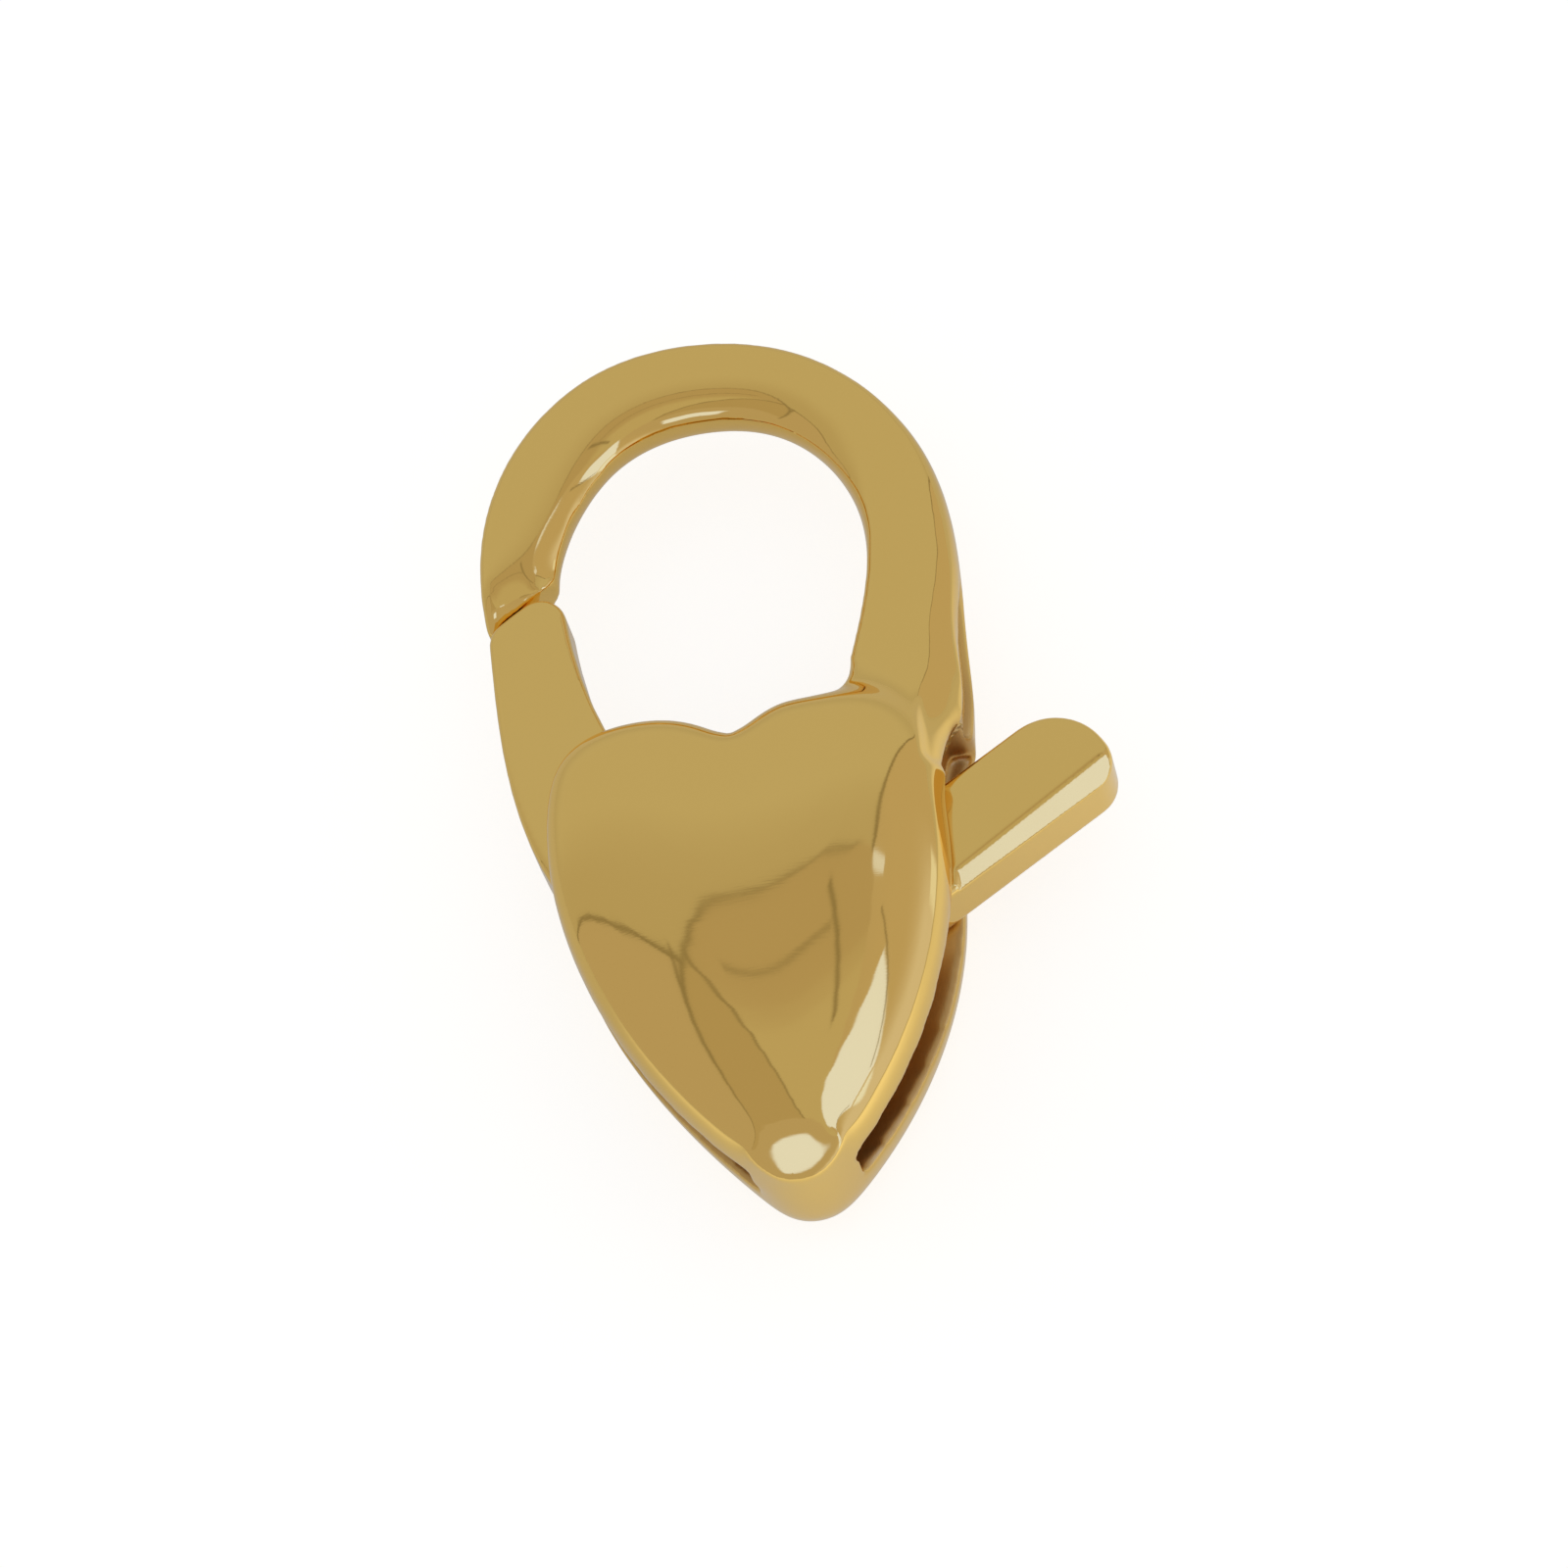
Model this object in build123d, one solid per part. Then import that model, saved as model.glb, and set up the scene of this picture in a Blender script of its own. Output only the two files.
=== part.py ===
from build123d import *
import math
import os

# A heart lobster clasp: a cast body with a hook, a sprung lever in its slot and a pivot pin.
# Millimetres and degrees. While the pieces are made, the heart's tip is at x = 0, y = 0 and the
# slot's middle is at z = 0. X points to the thumb tab, Y up to the hook, Z out of the front.

# Heart, seen from the front
heart_length = 7.94
heart_half_width = 3.12
widest_y = 5.7
lobe_top_x = 1.45
notch_depth = 0.62
tip_radius = 0.8
tip_flank_angle = 43.0
tip_offset_x = 0.24
back_left_tuck = 0.3

# Heart, seen from the side: the edges of its two halves lean together at the tip
edge_z_at_tip = 0.75
edge_lean = 5.0
dome_centre_y = 4.8
front_dome_height = 0.8
back_face_depth = 1.75

# Slot for the lever, which narrows towards the tip where the jump ring passes
slot_clearance = 0.05
slot_end_y = 0.55
slot_width_at_end = 0.72
slot_taper_top_y = 3.1

# Hook and its column
hook_centre_x = -0.06
hook_centre_y = 11.2
hook_radius = 3.2
hook_width = 1.32
hook_thickness = 1.25
column_top_x = 3.06
column_foot_x = 2.27
column_foot_y = 6.1

# Lever: gate, hub and thumb tab cut from one plate
lever_thickness = 1.1
lever_edge_round = 0.13
gate_inner_x = -2.55
gate_outer_x = -3.78
gate_straight = 0.55
gate_bow = 2.2
gate_sweep = 4.15
throat_reach = 1.5
throat_rise = 0.75
gate_corner_round = 0.42
gate_gap = 0.12
hub_radius = 1.04
thumb_angle = 30.5
thumb_length = 5.62
thumb_width = 1.6
thumb_upper_round = 0.93
thumb_lower_round = 0.56

# Pivot
pivot_x = 0.55
pivot_y = 4.3
joint_radius = 7.54
pin_radius = 0.38
pin_running_clearance = 0.03
pin_seat_clearance = 0.01
pin_front_depth = 0.5
pin_back_recess = 0.02

# Web between the halves, which carries the column and stops the lever
web_left_x = 1.3
web_floor_y = 6.5
web_floor_right_x = 2.75
web_side_y = 7.4
web_gap = 0.06

# Sections of the front dome, from its edge to its crown: share of the heart's reach from the
# dome's centre, and share of the notch
FRONT_SECTIONS = [
    (1.00, 1.00),
    (0.96, 0.93),
    (0.88, 0.79),
    (0.76, 0.58),
    (0.60, 0.34),
    (0.42, 0.16),
    (0.24, 0.05),
    (0.10, 0.00),
]
# Sections of the back: reach, height, notch, and how much of the edge's lean is left
BACK_SECTIONS = [
    (1.00, 0.00, 1.00, 1.0),
    (0.97, 0.38, 0.92, 0.62),
    (0.92, 0.71, 0.80, 0.29),
    (0.84, 0.93, 0.64, 0.07),
    (0.74, 1.00, 0.48, 0.0),
]
# Stations along the ring of the hook, which is round on its inner side: angle, shares of the
# hook's radius, width and thickness, then the inner and the outer corners' share of the
# narrower of the two
RING_STATIONS = [
    (200, 1.006, 0.667, 0.68, 0.46, 0.30),
    (180, 1.002, 0.948, 0.76, 0.47, 0.28),
    (160, 0.984, 1.068, 0.80, 0.48, 0.26),
    (140, 0.988, 1.125, 0.80, 0.48, 0.26),
    (115, 0.991, 1.141, 0.80, 0.48, 0.26),
    (90, 0.964, 1.096, 0.80, 0.48, 0.26),
    (65, 0.954, 1.045, 0.82, 0.48, 0.28),
    (42, 0.943, 1.040, 0.86, 0.46, 0.32),
    (18, 0.947, 1.058, 0.94, 0.36, 0.36),
]
# Stations down the column, which is round on its outer side: shares of its way across and
# down, then as above
COLUMN_STATIONS = [
    (0.08, 0.20, 1.13, 1.10, 0.20, 0.36),
    (0.25, 0.40, 1.26, 1.34, 0.14, 0.34),
    (0.40, 0.57, 1.42, 1.64, 0.12, 0.30),
    (0.70, 0.77, 1.39, 1.98, 0.12, 0.26),
    (1.00, 1.00, 1.20, 2.10, 0.12, 0.22),
]
# How the outline leaves the notch, as shares of a lobe's width: the right lobe rises sooner
LOBE_SHARES = {1: (0.18, 0.45), -1: (0.21, 0.52)}


def edge_z(y):
    """Height of the heart's edge above the slot's middle plane."""
    return edge_z_at_tip + y * math.tan(math.radians(edge_lean))


def heart_wire(plane, reach, notch_share, left_tuck=0):
    """A heart outline at a share of its reach, on a plane whose origin is the dome's centre."""
    angle = math.radians(tip_flank_angle)
    side = (math.cos(angle), math.sin(angle))
    flank_x = tip_radius * side[1]
    flank_y = tip_radius * (1 - side[0])
    notch_y = heart_length - notch_depth * notch_share
    shoulder = heart_half_width - lobe_top_x
    lobe_height = heart_length - widest_y

    def at(x, y):
        drift = tip_offset_x * max(0, 1 - y / widest_y)
        return plane.from_local_coords(((x + drift) * reach, (y - dome_centre_y) * reach, 0))

    def half(sign):
        near_notch, near_top = LOBE_SHARES[sign]
        lobe = Bezier(
            at(0, notch_y),
            at(sign * near_notch * lobe_top_x, notch_y + 0.55 * notch_depth * notch_share),
            at(sign * near_top * lobe_top_x, heart_length),
            at(sign * lobe_top_x, heart_length),
        )
        corner = Bezier(
            at(sign * lobe_top_x, heart_length),
            at(sign * (lobe_top_x + 0.85 * shoulder), heart_length),
            at(sign * heart_half_width, widest_y + 0.62 * lobe_height),
            at(sign * heart_half_width, widest_y),
        )
        tuck = left_tuck if sign < 0 else 0
        low_x = flank_x + 0.38 * widest_y * side[0] - tuck
        flank = Bezier(
            at(sign * heart_half_width, widest_y),
            at(sign * heart_half_width, 0.65 * widest_y),
            at(sign * low_x, flank_y + 0.38 * widest_y * side[1]),
            at(sign * flank_x, flank_y),
        )
        return [lobe, corner, flank]

    tip = ThreePointArc(at(flank_x, flank_y), at(0, 0), at(-flank_x, flank_y))
    return Wire(half(1) + [tip] + half(-1))


def section_plane(side, height, lean_share):
    """Plane of one section: side is 1 for the front and -1 for the back."""
    slope = math.radians(edge_lean * lean_share) * side
    origin = (0, dome_centre_y, side * height)
    return Plane(origin=origin, x_dir=(1, 0, 0), z_dir=(0, -math.sin(slope), math.cos(slope)))


def heart_half(side, sections, left_tuck=0):
    """One half of the heart: a straight wall from the middle plane, and what closes it."""
    middle = heart_wire(section_plane(side, 0, 0), 1, 1, left_tuck)
    wires = []
    for reach, height, notch, lean in sections:
        wires.append(heart_wire(section_plane(side, height, lean), reach, notch, left_tuck))
    wall = Solid.make_loft([middle, wires[0]], ruled=True)
    cover = Solid.make_loft(wires)
    return wall + cover


def heart_front():
    """The puffed front: its height follows one smooth curve from the edge to the crown."""
    rim = edge_z(dome_centre_y)
    rows = []
    for reach, notch in FRONT_SECTIONS:
        rise = math.sqrt(max(0, 1 - reach**2.4))
        rows.append((reach, rim + front_dome_height * rise, notch, 1))
    return heart_half(1, rows)


def heart_back():
    """The low back, a little narrower at its lower left, ending in the flat it lies on."""
    rim = edge_z(dome_centre_y)
    rows = []
    for reach, height, notch, lean in BACK_SECTIONS:
        rows.append((reach, rim + (back_face_depth - rim) * height, notch, lean))
    return heart_half(-1, rows, back_left_tuck)


def bar_section(wide, thick, inner_corner, outer_corner):
    """Section of the hook: +X is the inner side."""
    narrower = min(wide, thick)
    bar = Rectangle(wide, thick)
    bar = fillet(bar.vertices().group_by(Axis.X)[-1], inner_corner * narrower)
    return fillet(bar.vertices().group_by(Axis.X)[0], outer_corner * narrower)


def hook_and_column():
    """The hook and its column: rounded sections along one smooth centreline."""
    rows = []
    for angle, radius, width, thickness, inner_corner, outer_corner in RING_STATIONS:
        turn = math.radians(angle)
        x = hook_centre_x + hook_radius * radius * math.cos(turn)
        y = hook_centre_y + hook_radius * radius * math.sin(turn)
        rows.append((x, y, width, thickness, inner_corner, outer_corner))
    for across, down, width, thickness, inner_corner, outer_corner in COLUMN_STATIONS:
        x = column_top_x + (column_foot_x - column_top_x) * across
        y = hook_centre_y + (column_foot_y - hook_centre_y) * down
        rows.append((x, y, width, thickness, inner_corner, outer_corner))
    line = Spline(*[(row[0], row[1]) for row in rows])
    sections = []
    for x, y, width, thickness, inner_corner, outer_corner in rows:
        along = line.tangent_at(line.param_at_point(Vector(x, y, 0)))
        plane = Plane(origin=(x, y, 0), x_dir=along.cross(Vector(0, 0, 1)), z_dir=along)
        wide = hook_width * width
        thick = hook_thickness * thickness
        sections.append(plane * bar_section(wide, thick, inner_corner, outer_corner))
    return loft(sections)


def hook_end_cut():
    """What is taken off the hook's free end, so that it ends on an arc about the pivot."""
    disc = Pos(pivot_x, pivot_y) * Circle(joint_radius)
    window = Pos(gate_outer_x, hook_centre_y - hook_width) * Rectangle(2.6 * hook_width, 3 * hook_width)
    return extrude(disc & window, hook_thickness, both=True)


def web_plan():
    """Plan of the web: what stays solid in the slot under the column's foot."""
    right = heart_half_width + hook_width
    top = heart_length + hook_width
    outline = Polyline(
        (web_left_x, top),
        (web_left_x, web_floor_y),
        (web_floor_right_x, web_floor_y),
        (heart_half_width, web_side_y),
        (right, web_side_y),
        (right, top),
        close=True,
    )
    return make_face(outline)


def slot_cut():
    """The slot: parallel walls beside the lever, narrowing towards the tip."""
    half = lever_thickness / 2 + slot_clearance
    end_half = slot_width_at_end / 2
    top = heart_length + hook_width
    profile = Polyline(
        (slot_end_y, -end_half),
        (slot_taper_top_y, -half),
        (top, -half),
        (top, half),
        (slot_taper_top_y, half),
        (slot_end_y, end_half),
        close=True,
    )
    cut = extrude(Plane.YZ * make_face(profile), 2 * heart_half_width, both=True)
    return cut - extrude(web_plan(), lever_thickness, both=True)


def pin_bore():
    """Bore of the pin: blind in the front half and open through the back."""
    start = -2 * back_face_depth
    length = lever_thickness / 2 + slot_clearance + pin_front_depth - start
    bore = Cylinder(pin_radius + pin_seat_clearance, length, align=(Align.CENTER, Align.CENTER, Align.MIN))
    return Pos(pivot_x, pivot_y, start) * bore


def clasp_body():
    """The casting: both halves of the heart, the column and the hook."""
    blank = heart_front() + heart_back() + (hook_and_column() - hook_end_cut())
    return blank - slot_cut() - pin_bore()


def lever_plan():
    """Plan of the lever: gate up the left, hub round the pivot, thumb tab to the right."""
    angle = math.radians(thumb_angle)
    along = (math.cos(angle), math.sin(angle))
    gate_radius = joint_radius - gate_gap
    shoulder_y = web_floor_y - web_gap

    def on_gate_arc(x):
        return pivot_y + math.sqrt(gate_radius**2 - (x - pivot_x) ** 2)

    def from_pivot(u, v):
        return (pivot_x + u * along[0] - v * along[1], pivot_y + u * along[1] + v * along[0])

    upper = thumb_width - hub_radius
    shoulder_end = from_pivot(0, upper)
    reach = (shoulder_y - shoulder_end[1]) / along[1]
    shoulder_right = from_pivot(reach, upper)
    shoulder_left = (pivot_x - hub_radius, shoulder_y)
    hub_start_angle = math.radians(260)
    hub_start = (
        pivot_x + hub_radius * math.cos(hub_start_angle),
        pivot_y + hub_radius * math.sin(hub_start_angle),
    )
    hub_slope = (-math.sin(hub_start_angle), math.cos(hub_start_angle))
    gate_foot = (hub_start[0] - gate_sweep * hub_slope[0], hub_start[1] - gate_sweep * hub_slope[1])
    outer_top = (gate_outer_x, on_gate_arc(gate_outer_x))
    gate_bend = (gate_outer_x, outer_top[1] - gate_straight)
    inner_top = (gate_inner_x, on_gate_arc(gate_inner_x))
    throat = (shoulder_left[0] - throat_reach, shoulder_y + throat_rise)
    middle_x = (gate_inner_x + gate_outer_x) / 2
    hub_bottom = math.radians(280)
    edges = [
        ThreePointArc(inner_top, (middle_x, on_gate_arc(middle_x)), outer_top),
        Line(outer_top, gate_bend),
        Bezier(gate_bend, (gate_outer_x, gate_bend[1] - gate_bow), gate_foot, hub_start),
        ThreePointArc(
            hub_start,
            (pivot_x + hub_radius * math.cos(hub_bottom), pivot_y + hub_radius * math.sin(hub_bottom)),
            from_pivot(0, -hub_radius),
        ),
        Line(from_pivot(0, -hub_radius), from_pivot(thumb_length, -hub_radius)),
        Line(from_pivot(thumb_length, -hub_radius), from_pivot(thumb_length, upper)),
        Line(from_pivot(thumb_length, upper), shoulder_right),
        Line(shoulder_right, shoulder_left),
        Bezier(shoulder_left, throat, (gate_inner_x, inner_top[1] - gate_bow * 0.82), inner_top),
    ]
    face = make_face(edges)
    corners = face.vertices()

    def nearest(point):
        return corners.sort_by_distance((point[0], point[1], 0))[0]

    face = fillet([nearest(from_pivot(thumb_length, upper))], thumb_upper_round)
    corners = face.vertices()
    face = fillet([nearest(from_pivot(thumb_length, -hub_radius))], thumb_lower_round)
    corners = face.vertices()
    return fillet([nearest(outer_top), nearest(inner_top)], gate_corner_round)


def lever():
    """The lever: the plate with its edges rounded, and the bore that runs on the pin."""
    plate = extrude(lever_plan(), lever_thickness / 2, both=True)
    rims = plate.edges().filter_by_position(Axis.Z, lever_thickness / 2, lever_thickness / 2)
    rims = rims + plate.edges().filter_by_position(Axis.Z, -lever_thickness / 2, -lever_thickness / 2)
    plate = fillet(rims, lever_edge_round)
    bore = Cylinder(pin_radius + pin_running_clearance, 2 * lever_thickness)
    return plate - Pos(pivot_x, pivot_y) * bore


def pivot_pin():
    """The pin, just short of the back's flat."""
    bottom = -back_face_depth + pin_back_recess
    length = lever_thickness / 2 + slot_clearance + pin_front_depth - bottom
    shaft = Cylinder(pin_radius, length, align=(Align.CENTER, Align.CENTER, Align.MIN))
    return Pos(pivot_x, pivot_y, bottom) * shaft


def set_down(pieces):
    """All pieces moved together: the whole's box stands on z = 0 with its middle on x = 0, y = 0."""
    boxes = [piece.bounding_box() for piece in pieces.values()]
    left = min(box.min.X for box in boxes)
    right = max(box.max.X for box in boxes)
    near = min(box.min.Y for box in boxes)
    far = max(box.max.Y for box in boxes)
    bottom = min(box.min.Z for box in boxes)
    move = Pos(-(left + right) / 2, -(near + far) / 2, -bottom)
    return {name: move * piece for name, piece in pieces.items()}


pieces = {
    "body": clasp_body(),
    "lever": lever(),
    "pivot_pin": pivot_pin(),
}
os.makedirs("parts", exist_ok=True)
for name, piece in set_down(pieces).items():
    export_step(piece, f"parts/{name}.step")
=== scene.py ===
import math

import bpy
import numpy as np
from bpy.props import FloatProperty, FloatVectorProperty, IntProperty, PointerProperty
from mathutils import Matrix, Vector


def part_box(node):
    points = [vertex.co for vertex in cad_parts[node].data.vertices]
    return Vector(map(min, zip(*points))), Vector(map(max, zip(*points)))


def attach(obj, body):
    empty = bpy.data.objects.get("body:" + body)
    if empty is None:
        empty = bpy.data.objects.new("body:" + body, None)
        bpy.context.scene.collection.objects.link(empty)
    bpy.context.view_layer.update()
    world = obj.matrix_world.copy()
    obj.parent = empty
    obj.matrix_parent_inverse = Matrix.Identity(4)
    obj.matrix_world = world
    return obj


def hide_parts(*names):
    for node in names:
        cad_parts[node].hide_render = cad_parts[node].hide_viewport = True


bl_info = {
    "name": "Heart Lobster Clasp",
    "version": (1, 0, 0),
    "blender": (4, 5, 0),
    "location": "View3D > Sidebar > Clasp",
    "description": "A puffed heart lobster clasp in polished gold, with its lever, pin and stage",
    "category": "Object",
}

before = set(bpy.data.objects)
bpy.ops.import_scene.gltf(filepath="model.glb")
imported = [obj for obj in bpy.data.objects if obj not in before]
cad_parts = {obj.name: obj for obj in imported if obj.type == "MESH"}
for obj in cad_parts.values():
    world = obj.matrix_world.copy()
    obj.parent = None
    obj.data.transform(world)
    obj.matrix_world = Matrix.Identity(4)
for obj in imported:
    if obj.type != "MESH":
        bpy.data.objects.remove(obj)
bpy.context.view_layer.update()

# Work on a fine mesh is done a thousand times up, where one unit is one millimetre. The places and
# lengths of the forms below are in those millimetres. A pair of numbers that fades a form in is
# read from its first number, where there is nothing, to its second, where the form is full.
WORK_SCALE = 1000.0
# Distance in metres within which a CAD mesh's loose corners are merged
MERGE_DISTANCE = 1e-7
# Steps into which the weights of a smoothing are rounded
WEIGHT_LEVELS = 50
# Broad faces: rounds over which the normals are averaged, how little they may turn, and rounds
# over which the result is averaged
OPEN_FACE_ROUNDS = 10
OPEN_FACE_TURN = (0.035, 0.012)
OPEN_FACE_BLUR = 3
# Rounds over which a mark on the vertices is averaged
MARK_BLUR = 2

# The slot that the lever turns in
SLOT_MIDDLE = 1.75
SLOT_FRONT = 2.35

# Balls that fill the corners where the column runs into the heart: middle and radii
COLUMN_FILLERS = (
    ((1.38, 0.22, 2.5), (0.5, 0.45, 0.58)),
    ((2.12, -0.82, 2.72), (0.38, 0.58, 0.34)),
)

# Softened edges of the slot, by distance from the slot's middle plane and by Y
LIP_INNER = (0.3, 0.45)
LIP_OUTER = (1.0, 0.8)
LIP_TOP = (-0.7, -1.2)
LIP_END = (-6.3, -6.6)

# Softened rim of the heart's front half, by Z and Y, and how much less of it is on the upper left
RIM_RISE = (SLOT_FRONT, SLOT_FRONT + 0.2)
RIM_TOP = (1.3, 0.3)
RIM_END = (-6.9, -6.3)
RIM_LEFT_X = (-0.9, -1.4)
RIM_LEFT_Y = (0.5, -0.5)
RIM_LEFT_LESS = 0.75

# Round of the small edges on the tip's face and inside the ring
EDGE_ROUND = 0.16

# Tip of the heart: middle and radius of its round end, and its flanks' slant in degrees
TIP_MIDDLE = (-0.69, -6.71)
TIP_RADIUS = 0.8
TIP_FLANK = 43.0
# The tip's flatter face: its Z at a height above that middle, its slope and its crown
TIP_FACE_Z = 2.955
TIP_FACE_HEIGHT = -0.2
TIP_FACE_SLOPE = 0.52
TIP_FACE_CROWN = 0.09
# Where it fades in, by Z, height above the middle, and distance to either side
TIP_FADE_Z = (2.45, 2.6)
TIP_FADE_UP = (0.15, -0.2)
TIP_FADE_ASIDE = (0.95, 0.6)

# Middle of the hook's ring, the round of its inner side, and the crown that takes its place
RING_MIDDLE = (-0.97, 3.69)
RING_ROUND = 0.48
RING_CROWN = 0.42
RING_CROWN_WIDTH = 0.65
# How the inner side's outline is found: half thickness of the layer that is looked at, greatest
# radius, angles in degrees, and degree of the curve that is fitted
RING_LAYER = 0.06
RING_INNER_REACH = 3.2
RING_ARC = (-5.0, 196.0)
RING_CURVE_DEGREE = 7
# Angle in degrees above which the ring's angles are counted as negative, so that its arc is whole
RING_BREAK = 300.0
# Where the crown fades in, by Z and by angle, and its greatest radius and lowest Y
RING_FADE_Z = (SLOT_MIDDLE, SLOT_MIDDLE + 0.15)
RING_FADE_START = (8.0, 35.0)
RING_FADE_STOP = (215.0, 200.0)
RING_OUTER_REACH = 4.4
RING_LOWEST = 2.0

# Free end of the hook: a spot on its edge, the edge's slope, how wide and deep it rolls over, and
# the greatest X and distance from the edge at which it does
HOOK_END = (-4.6, 3.05)
HOOK_END_SLOPE = 0.55
HOOK_END_WIDTH = 0.8
HOOK_END_DROP = 0.17
HOOK_END_RIGHT = -3.2
HOOK_END_REACH = 1.0
HOOK_END_FADE_Z = (SLOT_MIDDLE, SLOT_MIDDLE + 0.3)

# Inner corner at the column's foot: middle, radii, how far it is raised, and where
FOOT_CORNER = (0.85, 0.68)
FOOT_CORNER_RADII = (0.55, 0.6)
FOOT_CORNER_FADE = (1.0, 0.1)
FOOT_LIFT = 0.32
FOOT_LIFT_OVER = (2.2, 2.45)
FOOT_LIFT_UNDER = (3.25, 2.95)

# Softened spots round the column's foot: each one's middle, radii, and where it fades in
FOOT_FRONT_Z = (SLOT_FRONT, SLOT_FRONT + 0.15)
FOOT_MIDDLE, FOOT_RADII, FOOT_FADE = (1.35, 0.15), (1.45, 0.95), (1.0, 0.6)
FOOT_LEFT, FOOT_LEFT_FADE, FOOT_LEFT_Z = (1.0, 0.5), (0.7, 0.4), (1.9, 2.5)
FOOT_RIGHT, FOOT_RIGHT_FADE = (2.1, -0.75), (0.85, 0.5)

# Column: the line from which its front falls to the right, and how far it falls
COLUMN_RIDGE = 1.6
COLUMN_RIDGE_LEAN = 0.2
COLUMN_RIDGE_TOP = 3.5
COLUMN_FALL = 0.2
COLUMN_FALL_ROUND = 0.25
COLUMN_FADE_Z = (2.2, 2.5)
COLUMN_FADE_FOOT = (-1.0, -0.2)
COLUMN_FADE_TOP = (4.6, 3.0)

# Groove up the column's right side, and the ledge in front of it
GROOVE_DEPTH = 0.16
GROOVE_HEIGHT = (0.13, 0.05)
GROOVE_FACING = (0.5, 0.8)
GROOVE_FOOT = (-1.2, -0.9)
GROOVE_TOP = (2.9, 1.4)
GROOVE_LEFT = (1.9, 2.2)
LEDGE_DEPTH = 0.1
LEDGE_FACING = (0.2, 0.6)
LEDGE_FADE_Z = (SLOT_MIDDLE - 0.08, SLOT_MIDDLE + 0.06)

# Painted shade inside the slot, on the web that closes it, and in the groove
SLOT_SHADE_HEIGHT = (0.72, 0.64)
SLOT_SHADE_FACING = (0.2, 0.7)
SLOT_SHADE_TOP = (1.6, 0.6)
WEB_MIDDLE = -0.5
WEB_REACH = (0.8, 0.6)
WEB_FACING = (-0.1, -0.4)
WEB_LEFT = (1.2, 1.5)
WEB_RIGHT = (2.9, 2.6)
GROOVE_SHADE_HEIGHT = (0.12, 0.04)
GROOVE_SHADE_TOP = (2.9, 2.0)
GROOVE_SHADE_LEFT = (2.0, 2.3)
GROOVE_SHADE_FACING = (0.0, 0.4)

# Thumb tab: its slope in degrees, where it begins, and its front edges
THUMB_ANGLE = 30.5
THUMB_START = 2.2
THUMB_FRONT = SLOT_MIDDLE + 0.2
THUMB_FADE_X = (THUMB_START, 2.7)
THUMB_FADE_Z = (SLOT_MIDDLE, 2.0)

# The gold, with lengths in metres
GOLD = (0.96, 0.67, 0.206)
WARM_GOLD = (0.95, 0.645, 0.185)
POLISH = 0.045
WAVE = 0.000003
HAIRLINE = 0.00000007
# Noise scales of its effects, how far the roughness varies, and how the hairlines run
PATCH_SCALE = 260.0
SMEAR_SCALE = 1400.0
SMEAR_SPAN = 0.03
WAVE_SCALE = 700.0
HAIRLINE_SCALE = 3000.0
HAIRLINE_TURN = (0.3, 0.5, 0.9)
HAIRLINE_STRETCH = (1.0, 14.0, 5.0)
# Painted shade deep in the slot: its darker colour, and how much rougher the gold is there
SLOT_SHADE_COLOUR = (0.6, 0.37, 0.13)
SLOT_SHADE_DULLNESS = 0.3

# Panels of the light tent as the piece sees them, in degrees: right of and above the point
# overhead, turn, half width, half height and soft edge, then the panel's colour, or None for a seam
TENT_PANELS = (
    (-5.5, -29.0, 8.0, 8.5, 7.0, 1.0, (0.80, 1.02, 2.15)),
    (34.5, -16.0, -44.0, 18.0, 8.0, 0.6, (0.80, 1.02, 2.15)),
    (60.0, -42.0, -44.0, 15.0, 7.5, 0.8, (0.82, 1.02, 1.9)),
    (20.3, 12.8, -10.0, 2.2, 1.0, 0.4, (0.72, 0.86, 1.6)),
    (88.0, 12.0, 0.0, 16.0, 4.5, 2.0, (0.78, 0.88, 1.25)),
    (-29.0, -4.0, 61.0, 14.0, 0.3, 0.3, None),
    (-3.0, 9.0, 2.0, 10.5, 0.15, 0.2, None),
    (10.0, 6.5, -62.0, 7.5, 0.4, 0.4, None),
    (36.0, -6.0, -46.0, 19.0, 0.25, 0.3, None),
)
# How far above its plane a direction must point to meet a panel
PANEL_HORIZON = 0.02
# Corners of the screen under the tent's far edge, in the same degrees, anticlockwise
SCREEN_CORNERS = ((-33.9, -12.0), (17.5, -12.0), (18.0, 15.0), (-10.5, 14.2), (-23.2, 6.0))
SCREEN_CORNER_ROUND = 0.06
SCREEN_SOFTNESS = 0.005
# Edge of the screen's left wing, and how strongly its seam shows
WING_EDGE = ((2.3, -11.8), (-16.4, 5.3))
WING_SEAM = 0.8
# Two straight edges of the tent's far side, as the direction that each one's plane faces
WARM_EDGE = (-0.66, 0.75, 0.014)
NEAR_EDGE = (0.115, 0.99, -0.0945)
# Softness of a straight edge, and how its seam fades in towards it
EDGE_SOFTNESS = 0.008
EDGE_SEAM = (0.011, 0.003)
# Where the tent's tones fade in, by the direction's X, Y or Z
HORIZON_FADE_Z = (0.0, 0.3)
FAR_EDGE_FADE_Y = (0.44, 0.22)
WARM_FADE_X = (0.1, 0.5)
LOW_FADE_Z = (0.8, 0.35)
LOW_FADE_Y = (0.35, 0.0)
SCREEN_FRONT_FADE_Y = (0.13, 0.03)
# The screen's outline: narrowest width, how much wider it gets nearer, and where it fades in
OUTLINE_WIDTH = 0.0045
OUTLINE_WIDER = 0.006
OUTLINE_CORE = 0.001
OUTLINE_WIDER_Y = (0.26, 0.12)
OUTLINE_FADE_Y = (-0.15, 0.05)
OUTLINE_FADE_X = (0.27, 0.2)
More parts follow.
